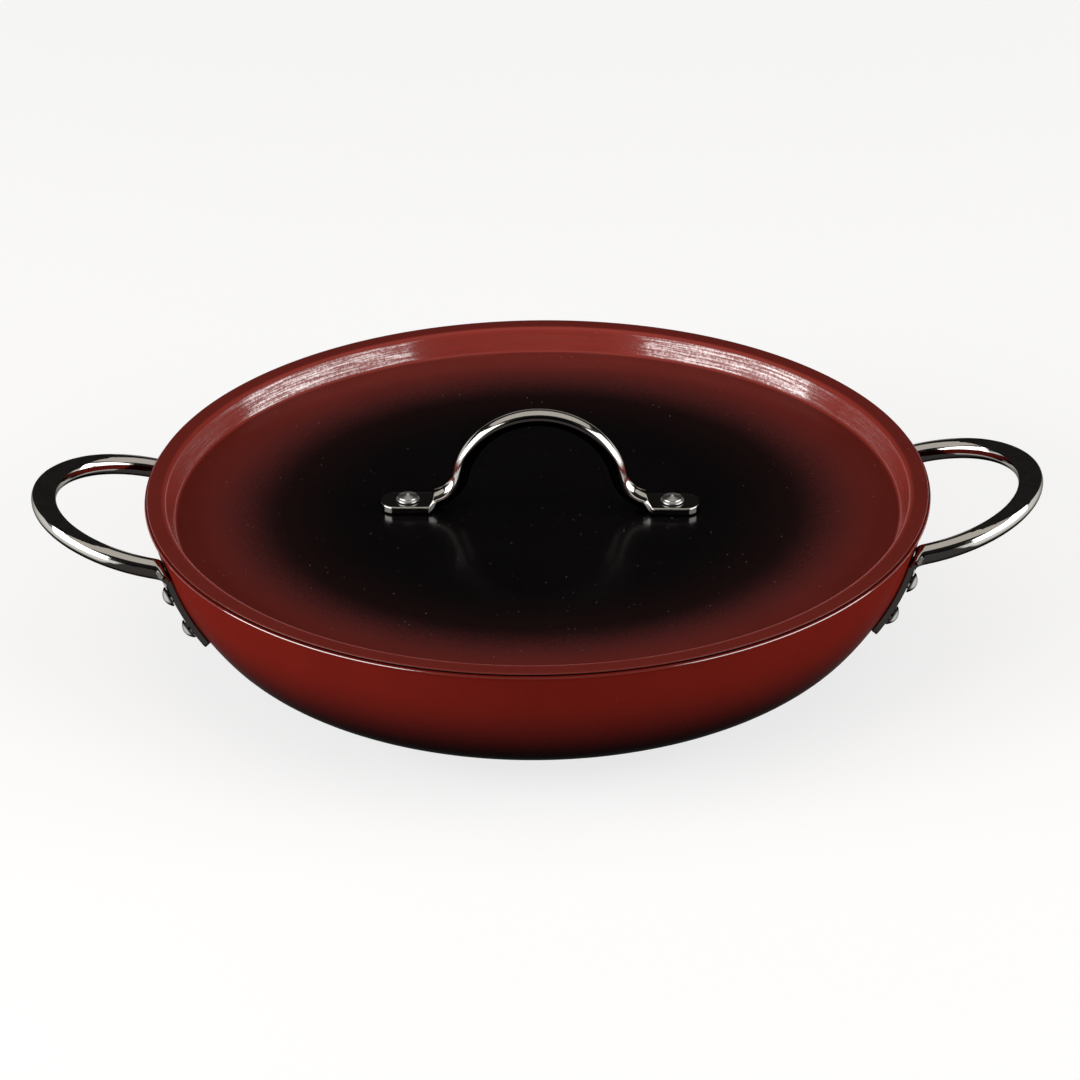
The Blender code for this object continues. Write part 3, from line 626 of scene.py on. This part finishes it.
def side_handle_half():
    """Sections of the right handle, from the loop's outer end to the end of the back tab."""
    sideways = Vector((0.0, 1.0, 0.0))
    tab_across = wall_place(TAB_START)[1]
    sections = []
    for step in range(LOOP_STEPS + 1):
        angle = math.pi / 2 * step / LOOP_STEPS
        across = LOOP_ARM * math.cos(angle) + sideways * math.sin(angle)
        share = math.cos(angle) ** 2
        half_height = between(SIDE_ROD, PRESSED_RISE, share)
        sections.append((
            LOOP_CENTRE + across * LOOP_RADIUS, across, LOOP_RISE,
            between(SIDE_ROD, PRESSED_HALF, share), half_height, half_height,
        ))
    start, stop = math.pi / 2 + LOOP_TILT, math.pi - TAB_LEAN
    for step in range(BEND_STEPS):
        share = step / BEND_STEPS
        angle = between(start, stop, share)
        outward, forward = upright(angle), upright(angle + math.pi / 2)
        across = sideways.lerp(tab_across, share)
        across -= forward * across.dot(forward)
        flat = ease(share / 0.75)
        sections.append((
            BEND_CENTRE + outward * BEND_RADIUS, across, across.cross(forward),
            between(SIDE_ROD, TAB_HALF, flat), between(SIDE_ROD, TAB_THICK / 2, flat),
            between(SIDE_ROD, PRESSED_EDGE, flat),
        ))
    rows = [(between(TAB_START, TAB_END - 0.004, step / 10), TAB_HALF) for step in range(11)]
    rows += squared_end(TAB_END, TAB_HALF, TAB_CORNER, 6)[1:]
    for drop, half_width in rows:
        middle, across, normal = wall_place(drop)
        sections.append((
            middle + normal * TAB_CLOSER, across, normal, half_width, TAB_THICK / 2, TAB_EDGE,
            0.0, None, TAB_HUG,
        ))
    return sections


def mirror_section(section, axis):
    """The same section mirrored along an axis: 0 from right to left, 1 from back to front."""
    flipped = [vector.copy() for vector in section[:3]]
    for vector in flipped:
        vector[axis] = -vector[axis]
    return tuple(flipped) + tuple(section[3:])


# Polished steel: fine lines along the rod, small pits and the smears that hands leave, with a
# darker steel mixed in by a share as painted shade
polish_group, given, result = new_group(
    "polished_steel",
    (
        ("Along", "Vector", None),
        ("Place", "Vector", None),
        ("Steel", "Color", STEEL_POLISHED),
        ("Painted Shade Steel", "Color", STEEL_PAINTED_SHADE),
        ("Painted Shade Share", "Float", 0.0),
        ("Shine Roughness", "Float", 0.07),
        ("Lines", "Float", 0.5),
    ),
    (("Colour", "Color"), ("Roughness", "Float"), ("Height", "Float")),
)
stretch = lay_node(polish_group, "Mapping", {}, {
    0: given["Along"], 3: (5200.0, 190.0, 1.0),
}).outputs[0]
lines = lay_node(polish_group, "TexNoise", {"noise_dimensions": "2D"}, {
    "Vector": stretch, "Scale": 1.0, "Detail": 2.0, "Roughness": 0.6,
}).outputs["Fac"]
smears = noise(polish_group, given["Place"], 130.0, 4.0, 0.6, 0.8)
pits = noise(polish_group, given["Place"], 1500.0, 2.0, 0.6)
tone = reckon(polish_group, "MULTIPLY_ADD", smears, 0.16, 0.92)
steel = blend(polish_group, given["Painted Shade Share"], given["Steel"], given["Painted Shade Steel"])
rough = reckon(polish_group, "MULTIPLY_ADD", smears, 0.06, given["Shine Roughness"])
scratch = reckon(polish_group, "MULTIPLY", lines, given["Lines"])
pits = reckon(polish_group, "MULTIPLY", pits, 0.5)
set_inputs(polish_group, result, {
    "Colour": lay_node(polish_group, "HueSaturation", {}, {
        "Value": tone, "Color": steel,
    }).outputs[0],
    "Roughness": reckon(polish_group, "MULTIPLY_ADD", scratch, 0.06, rough),
    "Height": reckon(polish_group, "MULTIPLY_ADD", lines, given["Lines"], pits),
})


def polished_finish(name, steel, shine, lines, bump_height, painted_shade_reach=None):
    """Polished steel that follows the piece's own map. The last argument says which part of it is
    painted dark steel underneath, as painted shade. "head" is the lower half and the rim of a
    rivet's head. For a rod it lists how far up the painted shade reaches, as a share of the rod's
    half height, at lengths from the rod's ends."""
    material, tree, shader, place = new_finish(name)
    along = lay_node(tree, "UVMap", {"uv_map": "rod_map"}, {}).outputs[0]
    # The share of dark steel worked out below is painted shade.
    dark = 0.0
    if painted_shade_reach == "head":
        height = lay_node(tree, "SeparateXYZ", {}, {0: along}).outputs[1]
        from_axis = lay_node(tree, "VectorMath", {"operation": "LENGTH"}, {0: along})
        dark = reckon(
            tree, "MAXIMUM", ramp(tree, height, 0.0004, -0.0012),
            ramp(tree, from_axis.outputs["Value"], 0.0029, 0.0036),
        )
    elif painted_shade_reach:
        on_map = lay_node(tree, "SeparateXYZ", {}, {0: along})
        around = reckon(tree, "MULTIPLY", on_map.outputs[0], math.tau / MAP_ROUND)
        upward = reckon(tree, "SINE", around)
        inward = reckon(tree, "MULTIPLY", reckon(tree, "COSINE", around), -1.0, clamp=True)
        to_far_end = reckon(tree, "SUBTRACT", painted_shade_reach["length"], on_map.outputs[1])
        to_end = reckon(tree, "MINIMUM", on_map.outputs[1], to_far_end)
        reach = reckon(tree, "MULTIPLY", inward, painted_shade_reach["inner side"])
        for near, far, rise in painted_shade_reach["steps"]:
            reach = reckon(tree, "ADD", reach, ramp(tree, to_end, near, far, 0.0, rise))
        dark = ramp(tree, reckon(tree, "SUBTRACT", upward, reach), 0.12, -0.12)
    skin = use_group(tree, polish_group, {
        "Along": along, "Place": place, "Steel": steel, "Painted Shade Share": dark,
        "Shine Roughness": shine, "Lines": lines,
    })
    bump = lay_node(tree, "Bump", {}, {
        "Strength": 0.4, "Distance": bump_height, "Height": skin["Height"],
    })
    set_inputs(tree, shader, {
        "Base Color": skin["Colour"], "Roughness": skin["Roughness"], "Metallic": 1.0,
        "Specular Tint": EDGE_TINT, "Normal": bump.outputs[0],
    })
    return material


def even_shading(piece):
    """Let the large faces lead the shading, so that flats look flat."""
    weighted = piece.modifiers.new("Even shading", "WEIGHTED_NORMAL")
    weighted.keep_sharp = True


# Painted shade: the loop's underside, its inner side and the rod near the tabs are dark steel.
loop_steel = polished_finish("loop_steel", STEEL_POLISHED, 0.06, 0.5, 0.000004, {
    "length": 0.1978, "inner side": 0.35, "steps": ((0.0, 0.001, 0.35), (0.044, 0.054, -0.77)),
})
ground_steel = polished_finish("ground_steel", STEEL_GROUND, 0.22, 1.0, 0.00002)

half = side_handle_half()
facet_share = math.cos(math.radians(FACET_DEGREES))
outer = LOOP_CENTRE + LOOP_ARM * LOOP_RADIUS + LOOP_RISE * FACET_HEIGHT
inner = LOOP_CENTRE + LOOP_ARM * (LOOP_RADIUS * facet_share)
inner += LOOP_RISE * between(SIDE_ROD, PRESSED_RISE, facet_share ** 2)
slope = (outer - inner).normalized()
facing = Vector((-slope.z, 0.0, slope.x))
for side_name, turn in (("right", 0.0), ("left", math.pi)):
    rod = draw_rod([mirror_section(section, 1) for section in reversed(half[1:])] + half)
    cut = bmesh.ops.bisect_plane(rod, geom=list(rod.verts) + list(rod.edges) + list(rod.faces),
                                 plane_co=outer, plane_no=facing, clear_outer=True)
    rim = [item for item in cut["geom_cut"] if isinstance(item, bmesh.types.BMEdge)]
    filled = bmesh.ops.edgeloop_fill(rod, edges=rim, mat_nr=1)["faces"]
    bmesh.ops.recalc_face_normals(rod, faces=rod.faces)
    rod_map = rod.loops.layers.uv["rod_map"]
    for face in filled:
        for loop in face.loops:
            loop[rod_map].uv = (loop.vert.co.y, loop.vert.co.x)
    bmesh.ops.transform(rod, matrix=Matrix.Rotation(turn, 4, "Z"), verts=rod.verts)
    handle = finish_piece(
        side_name + "_loop_handle", rod, [loop_steel, ground_steel], sharp_degrees=30.0
    )
    even_shading(handle)
    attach(handle, "pan")
    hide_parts(side_name + "_handle")

# Side rivets
# Stainless rivets, two through each tab and the bowl's wall. Each has a low domed head outside,
# and its other end is closed as a flat button inside the bowl.
RIVET_STEPS = 48
SHANK = 0.0025
SIDE_HEAD, SIDE_GRIP = 0.0038, 0.00486
RIVET_DROPS = (("upper", 0.0165), ("lower", 0.0305))
HEAD_SEAT = TAB_THICK / 2 - 0.0001
# A crown is drawn from its middle to its foot, as insets from the head's radius and heights.
DOMED_CROWN = (
    (None, 0.0024), (0.0033, 0.00235), (0.0024, 0.00214), (0.0015, 0.00170), (0.0009, 0.00125),
    (0.0004, 0.00085), (0.0002, 0.00060), (0.00002, 0.00048), (0.0, 0.00038), (0.0, 0.00010),
    (0.00010, 0.0),
)
# The flat button at the other end is drawn from its rim to its middle, as radii and depths.
BUTTON = ((0.0041, 0.0), (0.0041, 0.0002), (0.0037, 0.0005), (0.0020, 0.0009), (0.0, 0.0010))
# Painted shade: the lower half and the rim of each head are dark steel.
side_rivet_steel = polished_finish(
    "side_rivet_steel", (0.56, 0.56, 0.545, 1.0), 0.13, 0.0, 0.00003, "head"
)


def draw_rivet(head, grip, crown):
    """A rivet whose outer head sits on height 0 and whose shank reaches down by its grip."""
    rivet = bmesh.new()
    end = start_outline(rivet, 0.0, crown[0][1])
    for inset, height in crown[1:]:
        end = line_to(rivet, end, head - inset, height)
    end = line_to(rivet, end, SHANK, 0.0)
    end = line_to(rivet, end, SHANK, -grip)
    for radius, depth in BUTTON:
        end = line_to(rivet, end, radius, -grip - depth)
    turn_outline(rivet, RIVET_STEPS)
    rivet_map = rivet.loops.layers.uv.new("rod_map")
    for face in rivet.faces:
        for loop in face.loops:
            loop[rivet_map].uv = (loop.vert.co.x, loop.vert.co.y)
    return rivet


for side_name, side in (("left", -1), ("right", 1)):
    for arm_name, arm in (("front", -1), ("back", 1)):
        for level_name, drop in RIVET_DROPS:
            middle, across, normal = wall_place(drop)
            head_seat = middle - normal * HEAD_SEAT
            outward = Vector((-side * normal.x, -arm * normal.y, -normal.z))
            lay = outward.to_track_quat("Z", "Y").to_matrix().to_4x4()
            rivet = draw_rivet(SIDE_HEAD, SIDE_GRIP, DOMED_CROWN)
            spot = Vector((side * head_seat.x, arm * head_seat.y, head_seat.z))
            bmesh.ops.transform(rivet, matrix=Matrix.Translation(spot) @ lay, verts=rivet.verts)
            node_name = "_".join((side_name, arm_name, level_name, "rivet"))
            stud_name = "_".join((side_name, arm_name, level_name, "stud"))
            piece = finish_piece(stud_name, rivet, [side_rivet_steel], sharp_degrees=40.0)
            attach(piece, "pan")
            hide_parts(node_name)

# Lid
# Pressed from one sheet, with a flat flange, a step whose wall leans outward and a panel that
# rises a little to its middle. The top is red enamel under a black mist, the underside bare steel.
LID_STEPS = 240
LID_SHEET = 0.0008
LID_RADIUS = 0.1396
PANEL_TOP = 0.0516496
FLANGE_TOP = 0.0590496
DOME_CENTRE = -8.3591869
WALL_LEAN = 20.0
STEP_TURN = 90.0 - WALL_LEAN
FLANGE_BEND, FOOT_BEND = 0.0018, 0.0014
LID_RED = (0.150, 0.0192, 0.0145, 1.0)
# A lighter red for the step's wall: painted light, for the extra light that the wall catches.
STEP_RED_PAINTED_LIGHT = (0.270, 0.0340, 0.0250, 1.0)

lid_enamel, tree, shader, place = new_finish("lid_enamel")
split = lay_node(tree, "SeparateXYZ", {}, {0: place})


def distance_from(tree, split, x, y):
    """Level distance from a spot on the lid."""
    aside = reckon(tree, "SUBTRACT", split.outputs[0], x)
    beyond = reckon(tree, "SUBTRACT", split.outputs[1], y)
    square = reckon(tree, "MULTIPLY", beyond, beyond)
    return reckon(tree, "SQRT", reckon(tree, "MULTIPLY_ADD", aside, aside, square))


# The mist is full round the panel's middle and thins out towards its edge.
from_spray = distance_from(tree, split, 0.0, -0.0008)
lid_cover = reckon(
    tree, "ADD", ramp(tree, from_spray, 0.1260, 0.0902, 0.0, 0.93),
    ramp(tree, from_spray, 0.1050, 0.0640, 0.0, 0.07),
)
from_middle = distance_from(tree, split, 0.0, 0.0)
step_foot = ramp(tree, from_middle, 0.1288, 0.1304)
step_top = ramp(tree, from_middle, 0.1352, 0.1338)
step = reckon(tree, "MULTIPLY", step_foot, step_top)
# More dust lies between the feet of the handle.
by_handle = lay_node(tree, "VectorMath", {"operation": "MULTIPLY_ADD"}, {
    0: place, 1: (1 / 0.058, 1 / 0.015, 0.0), 2: (0.0, 0.6, 0.0),
}).outputs[0]
by_handle = lay_node(tree, "VectorMath", {"operation": "LENGTH"}, {0: by_handle}).outputs["Value"]
lid_dust = ramp(tree, by_handle, 0.4, 1.5, 1.9, 0.75, "LINEAR")
# The step's wall takes the lighter red, as painted light.
lid_glaze_and_painted_light = blend(tree, step, LID_RED, STEP_RED_PAINTED_LIGHT)
enamel_finish(tree, shader, place, lid_glaze_and_painted_light, lid_cover, 0.15, 0.6, lid_dust)
# The press's marks show through the enamel on the step's wall, which shines in level streaks.
height = split.outputs[2]
drawn = lay_node(tree, "CombineXYZ", {}, {
    0: reckon(tree, "MULTIPLY", reckon(tree, "ARCTAN2", split.outputs[1], split.outputs[0]), 6.0),
    1: reckon(tree, "MULTIPLY", height, 1500.0), 2: 0.0,
}).outputs[0]
drawn = noise(tree, drawn, 1.0, 3.0, 0.65)
streaks = reckon(tree, "MULTIPLY_ADD", noise(tree, place, 900.0, 3.0, 0.7), 0.5, drawn)
worn = ramp(tree, streaks, 0.69, 0.93, 0.04, 1.00, "LINEAR")
wall = reckon(
    tree, "MULTIPLY", ramp(tree, height, 0.0509, 0.0517), ramp(tree, height, 0.0583, 0.0577)
)
wall = reckon(tree, "MULTIPLY", wall, step)
set_inputs(tree, shader, {
    "Specular IOR Level": 0.2, "Coat Weight": reckon(tree, "MULTIPLY", wall, worn),
    "Coat Roughness": 0.10, "Coat IOR": 2.5,
})
lid_steel = turned_finish("lid_steel", 0.0007, 0.24, STEEL_WHITE)
# The edge's lower half is fully misted black: painted shade for the shadowed gap between the lid
# and the bowl's lip.
lid_edge_painted_shade, tree, shader, place = new_finish("lid_edge_painted_shade")
enamel_finish(tree, shader, place, LID_RED, 1.0, 0.35, 0.6, 0.3)
shader.inputs["Specular IOR Level"].default_value = 0.12

lid = bmesh.new()
foot_centre = (0.1292, 0.0520573)
flange_centre = (0.1345, 0.0572496)
dome_turn = math.degrees(math.asin(foot_centre[0] / (PANEL_TOP - DOME_CENTRE)))
lean_across, lean_up = math.cos(math.radians(WALL_LEAN)), math.sin(math.radians(WALL_LEAN))
end = start_outline(lid, 0.0, PANEL_TOP)
end = arc_to(lid, end, (0.0, DOME_CENTRE), -dome_turn, 12)
end = arc_to(lid, end, foot_centre, STEP_TURN, 12)
end = line_to(
    lid, end, flange_centre[0] - FLANGE_BEND * lean_across,
    flange_centre[1] + FLANGE_BEND * lean_up, cuts=3,
)
end = arc_to(lid, end, flange_centre, -STEP_TURN, 12)
end = line_to(lid, end, LID_RADIUS, FLANGE_TOP, cuts=2)
end = arc_to(lid, end, (LID_RADIUS, FLANGE_TOP - LID_SHEET / 2), -180.0, 10)
end = line_to(lid, end, flange_centre[0], FLANGE_TOP - LID_SHEET)
end = arc_to(lid, end, flange_centre, STEP_TURN, 10)
foot_reach = FOOT_BEND + LID_SHEET
end = line_to(
    lid, end, foot_centre[0] + foot_reach * lean_across,
    foot_centre[1] - foot_reach * lean_up, cuts=3,
)
end = arc_to(lid, end, foot_centre, -STEP_TURN, 10)
arc_to(lid, end, (0.0, DOME_CENTRE - LID_SHEET), dome_turn, 12)
turn_outline(lid, LID_STEPS)
# The underside is bare steel up to the edge, whose lower half is black as painted shade, for the
# shadow in the narrow gap between the lid and the bowl's lip.
for face in lid.faces:
    middle = face.calc_center_median()
    radius = math.hypot(middle.x, middle.y)
    outward = (face.normal.x * middle.x + face.normal.y * middle.y) / radius
    under = face.normal.z < -0.1 or (outward > 0.5 and radius < 0.1385)
    face.material_index = 1 if under and radius < 0.1392 else 0
    if radius > 0.13968 and middle.z < 0.05865:
        face.material_index = 2
lid_piece = finish_piece("lid", lid, [lid_enamel, lid_steel, lid_edge_painted_shade])
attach(lid_piece, "lid")
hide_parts("lid_shell")

# Lid handle
# A polished stainless rod bent into an arch. Both feet are pressed flat into tabs that lie on the
# lid, and the press leaves a steep shoulder between rod and tab.
LID_TURN = math.radians(-3.0)
LID_OFFSET = Vector((0.0009, 0.0, 0.0))
LID_HANDLE_PLACE = Matrix.Translation(LID_OFFSET) @ Matrix.Rotation(LID_TURN, 4, "Z")
ARCH_RADIUS = 0.02911
ARCH_HEIGHT = 0.05874
FOOT_CENTRE = Vector((0.040623, 0.0, 0.067374))
FOOT_ANGLE = math.radians(12.0)
FOOT_END = math.radians(73.3)
FOOT_CURVE = 0.01242
LID_SLOPE = 0.0055167
LID_SEAT = Vector((0.0370458, 0.0, 0.0518732))
LID_ROD = 0.00309
ARCH_STEPS, FOOT_STEPS = 28, 12
LID_TAB_HALF = 0.00615
LID_TAB_THICK = 0.0028
LID_TAB_CORNER, LID_TAB_EDGE = 0.0050, 0.0005
SHOULDER, SHOULDER_EDGE = 0.0022, 0.0006
# The tab reaches this far from its shoulder to its rivet, and from there to its end.
RIVET_REACH, RIVET_MARGIN = 0.0086, 0.0091
# The rod swells by this much sideways before the shoulder.
SWELL = 0.0007
# The crease at the shoulder runs at a slant, which is stronger at the right foot.
LEFT_SLANT, RIGHT_SLANT = 0.0005, 0.0012


def lid_handle_half(slant):
    """Sections from the top of the arch down to the end of the tab at the right."""
    across = Vector((0.0, -1.0, 0.0))
    along, normal = upright(-LID_SLOPE), upright(math.pi / 2 - LID_SLOPE)
    sections = []
    for step in range(ARCH_STEPS + 1):
        outward = upright(between(math.pi / 2, FOOT_ANGLE, step / ARCH_STEPS))
        middle = outward * ARCH_RADIUS + Vector((0.0, 0.0, ARCH_HEIGHT))
        sections.append((middle, across, outward, LID_ROD, LID_ROD, LID_ROD, 0.0, along))
    for step in range(1, FOOT_STEPS + 1):
        share = step / FOOT_STEPS
        outward = upright(between(FOOT_ANGLE, FOOT_END, share))
        swell = ease(2 * share - 1)
        sections.append((
            FOOT_CENTRE - outward * FOOT_CURVE, across, outward, LID_ROD + SWELL * swell,
            LID_ROD, LID_ROD, slant * swell * 0.5, along,
        ))
    half = LID_TAB_THICK / 2
    for share in (0.35, 0.7, 1.0):
        rise = between(LID_ROD, half, share)
        sections.append((
            LID_SEAT + along * (SHOULDER * share) + normal * rise, across, normal,
            between(LID_ROD + SWELL, LID_TAB_HALF, share), rise,
            between(LID_ROD, SHOULDER_EDGE, share ** 0.5), slant, along,
        ))
    tab_end = SHOULDER + RIVET_REACH + RIVET_MARGIN
    rows = [(SHOULDER + 0.0035, LID_TAB_HALF, slant * 0.4), (SHOULDER + 0.0070, LID_TAB_HALF, 0.0)]
    for length, half_width in squared_end(tab_end, LID_TAB_HALF, LID_TAB_CORNER, 8):
        rows.append((length, half_width, 0.0))
    for length, half_width, skew in rows:
        sections.append((
            LID_SEAT + along * length + normal * half, across, normal, half_width, half,
            LID_TAB_EDGE, skew, along,
        ))
    return sections


right_half = lid_handle_half(RIGHT_SLANT)
left_half = []
for section in lid_handle_half(LEFT_SLANT):
    along = Vector((-section[-1].x, 0.0, section[-1].z))
    left_half.append(mirror_section(section, 0)[:-1] + (along,))
rod = draw_rod(list(reversed(left_half[1:])) + right_half)
bmesh.ops.transform(rod, matrix=LID_HANDLE_PLACE, verts=rod.verts)
# Painted shade: the arch's underside is dark steel, reaching higher along its middle than near the
# feet.
arch_steel = polished_finish("arch_steel", STEEL_POLISHED, 0.06, 0.5, 0.000004, {
    "length": 0.1475, "inner side": 0.0, "steps": ((0.0, 0.001, -0.30), (0.030, 0.042, 0.76)),
})
arch = finish_piece("arch_handle", rod, [arch_steel], sharp_degrees=40.0)
even_shading(arch)
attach(arch, "lid")
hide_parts("lid_handle")

# Lid rivets
# One through each tab and the lid. The head has a low stepped side and a shallow cone that rises
# to a small point.
LID_HEAD, LID_GRIP = 0.0042, 0.0045
LID_RIVET = Vector((0.0474, 0.0, 0.0518160))
LID_HEAD_GAP = 0.0003
PEAKED_CROWN = (
    (None, 0.0026), (0.00404, 0.00256), (0.0035, 0.00204), (0.00325, 0.00196), (0.0010, 0.00142),
    (0.00072, 0.00132), (0.00064, 0.00116), (0.00060, 0.00104), (0.00050, 0.00098),
    (0.00010, 0.00050), (0.00002, 0.00040), (0.0, 0.00030), (0.0, 0.00010), (0.00010, 0.0),
)
lid_rivet_steel = polished_finish("lid_rivet_steel", (0.50, 0.50, 0.49, 1.0), 0.26, 0.0, 0.00003)

top = LID_RIVET + Vector((LID_SLOPE, 0.0, 1.0)) * (LID_TAB_THICK + LID_HEAD_GAP)
for side_name, side in (("left", -1), ("right", 1)):
    rivet = draw_rivet(LID_HEAD, LID_GRIP, PEAKED_CROWN)
    bmesh.ops.transform(
        rivet, verts=rivet.verts,
        matrix=LID_HANDLE_PLACE @ Matrix.Translation((side * top.x, 0.0, top.z))
        @ Matrix.Rotation(side * LID_SLOPE, 4, "Y"),
    )
    piece = finish_piece("lid_stud_" + side_name, rivet, [lid_rivet_steel], sharp_degrees=40.0)
    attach(piece, "lid")
    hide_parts("lid_rivet_" + side_name)
